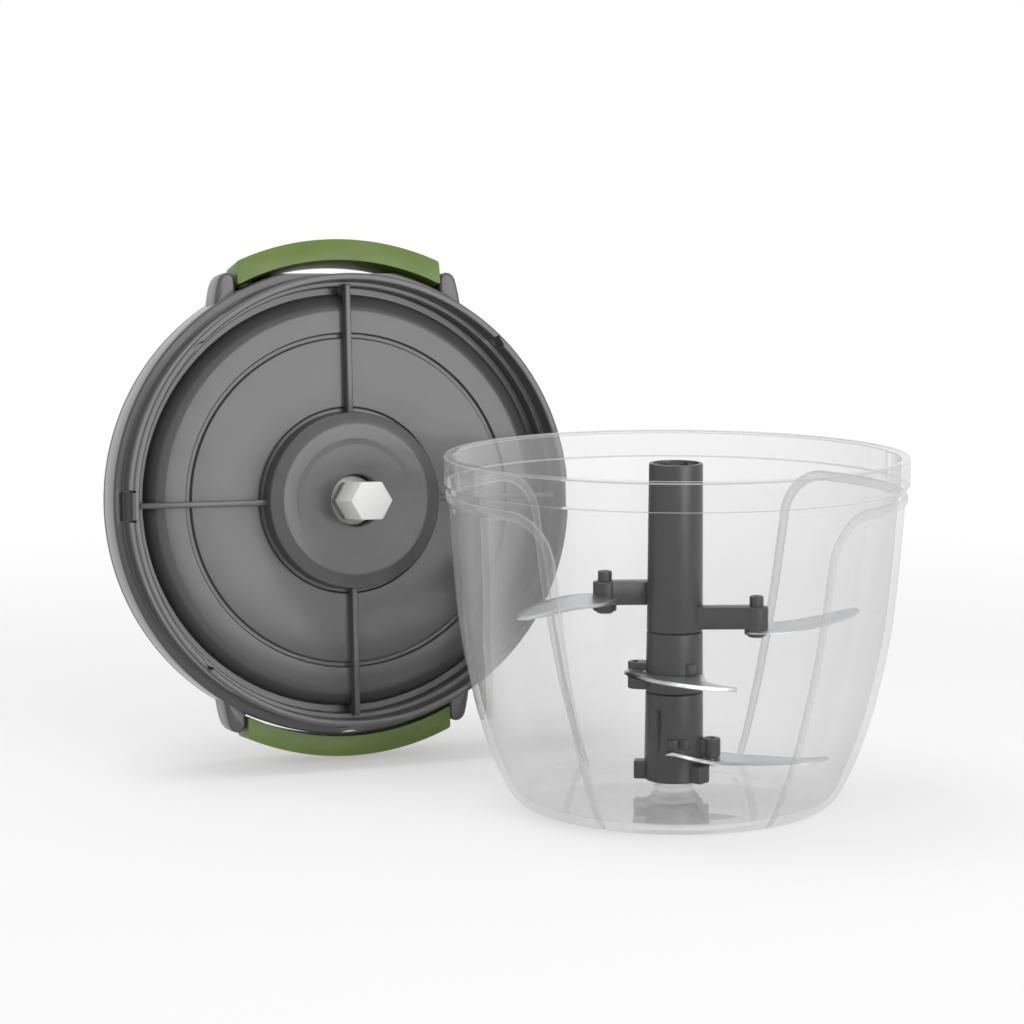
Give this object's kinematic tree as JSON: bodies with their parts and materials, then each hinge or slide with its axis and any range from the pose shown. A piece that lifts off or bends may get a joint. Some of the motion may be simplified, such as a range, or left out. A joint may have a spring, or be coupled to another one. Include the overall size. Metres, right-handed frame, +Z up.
{
  "type": "manual food chopper",
  "caption": "Clear chopper bowl with a tiered blade column, and its round crank lid with clips standing beside it on edge.",
  "frame": {"origin": "middle of the bowl's base, on the surface it stands on", "axes": "+Z up; -Y the way the lid's underside faces; +X to the right seen from -Y"},
  "size_m": [0.2626, 0.2482, 0.1993],
  "materials": {
    "clear_plastic": "clear moulded plastic, glossy",
    "lid_grey": "grey moulded plastic, satin gloss",
    "column_grey": "dark grey moulded plastic",
    "clip_green": "green moulded plastic",
    "white_plastic": "white moulded plastic",
    "steel": "stainless steel"
  },
  "bodies": {
    "bowl": {"bowl": "clear_plastic"},
    "blade_column": {"upper_hub": "column_grey", "middle_hub": "column_grey", "lower_hub": "column_grey", "column_spine": "white_plastic", "column_screw": "steel", "upper_left_blade": "steel", "upper_right_blade": "steel", "middle_blade": "steel", "lower_blade": "steel", "upper_right_pin": "column_grey", "upper_left_pin": "column_grey", "middle_blade_pin": "steel", "lower_blade_pin": "steel"},
    "lid": {"lid_base": "lid_grey", "lid_cover": "lid_grey", "cover_screw_1": "steel", "cover_screw_2": "steel", "cover_screw_3": "steel", "cover_screw_4": "steel", "planet_carrier": "lid_grey", "carrier_screw_1": "steel", "carrier_screw_2": "steel", "carrier_screw_3": "steel", "planet_pin_1": "steel", "planet_pin_2": "steel", "planet_pin_3": "steel", "upper_clip_left_pin": "steel", "upper_clip_right_pin": "steel", "lower_clip_left_pin": "steel", "lower_clip_right_pin": "steel"},
    "crank": {"ring_gear": "white_plastic", "crank_arm": "lid_grey", "crank_screw": "steel", "crank_cap": "clip_green", "knob_spindle": "steel"},
    "knob": {"crank_knob": "lid_grey", "knob_cap": "clip_green"},
    "planet_1": {"planet_gear_1": "white_plastic"},
    "planet_2": {"planet_gear_2": "white_plastic"},
    "planet_3": {"planet_gear_3": "white_plastic"},
    "drive": {"drive_shaft": "white_plastic", "sun_pinion": "white_plastic", "pinion_screw": "steel"},
    "upper_clip": {"upper_clip": "clip_green"},
    "lower_clip": {"lower_clip": "clip_green"}
  },
  "joints": [
    {"name": "column_spin", "type": "hinge", "parent": "bowl", "child": "blade_column", "pos_m": [0, 0, 0], "axis": [0, 0, 1], "continuous": true},
    {"name": "lid_lift", "type": "slide", "parent": "bowl", "child": "lid", "axis": [0, 0, 1], "range_m": [0, 0.16]},
    {"name": "crank_spin", "type": "hinge", "parent": "lid", "child": "crank", "pos_m": [-0.0896, 0.1123, 0.09986], "axis": [0, 0.9936, -0.1132], "continuous": true},
    {"name": "knob_spin", "type": "hinge", "parent": "crank", "child": "knob", "pos_m": [-0.09061, 0.10573, 0.04225], "axis": [0, 0.9936, -0.1132], "continuous": true},
    {"name": "planet_1_spin", "type": "hinge", "parent": "lid", "child": "planet_1", "pos_m": [-0.08932, 0.11413, 0.11596], "axis": [0, 0.9936, -0.1132], "continuous": true},
    {"name": "planet_2_spin", "type": "hinge", "parent": "lid", "child": "planet_2", "pos_m": [-0.07571, 0.11135, 0.09158], "axis": [0, 0.9936, -0.1132], "continuous": true},
    {"name": "planet_3_spin", "type": "hinge", "parent": "lid", "child": "planet_3", "pos_m": [-0.10377, 0.11141, 0.09206], "axis": [0, 0.9936, -0.1132], "continuous": true},
    {"name": "drive_spin", "type": "hinge", "parent": "lid", "child": "drive", "pos_m": [-0.0896, 0.1123, 0.09986], "axis": [0, 0.9936, -0.1132], "continuous": true},
    {"name": "upper_clip_hinge", "type": "hinge", "parent": "lid", "child": "upper_clip", "pos_m": [-0.0881, 0.13448, 0.18408], "axis": [-0.9998, 0.002, 0.0173], "range_deg": [-8, 1]},
    {"name": "lower_clip_hinge", "type": "hinge", "parent": "lid", "child": "lower_clip", "pos_m": [-0.0911, 0.11496, 0.01282], "axis": [-0.9998, 0.002, 0.0173], "range_deg": [-9, 0]}
  ],
  "couplings": [
    {"joint": "planet_1_spin", "follows": "crank_spin", "ratio": 2.8},
    {"joint": "planet_2_spin", "follows": "crank_spin", "ratio": 2.8},
    {"joint": "planet_3_spin", "follows": "crank_spin", "ratio": 2.8},
    {"joint": "drive_spin", "follows": "crank_spin", "ratio": -3.5}
  ]
}
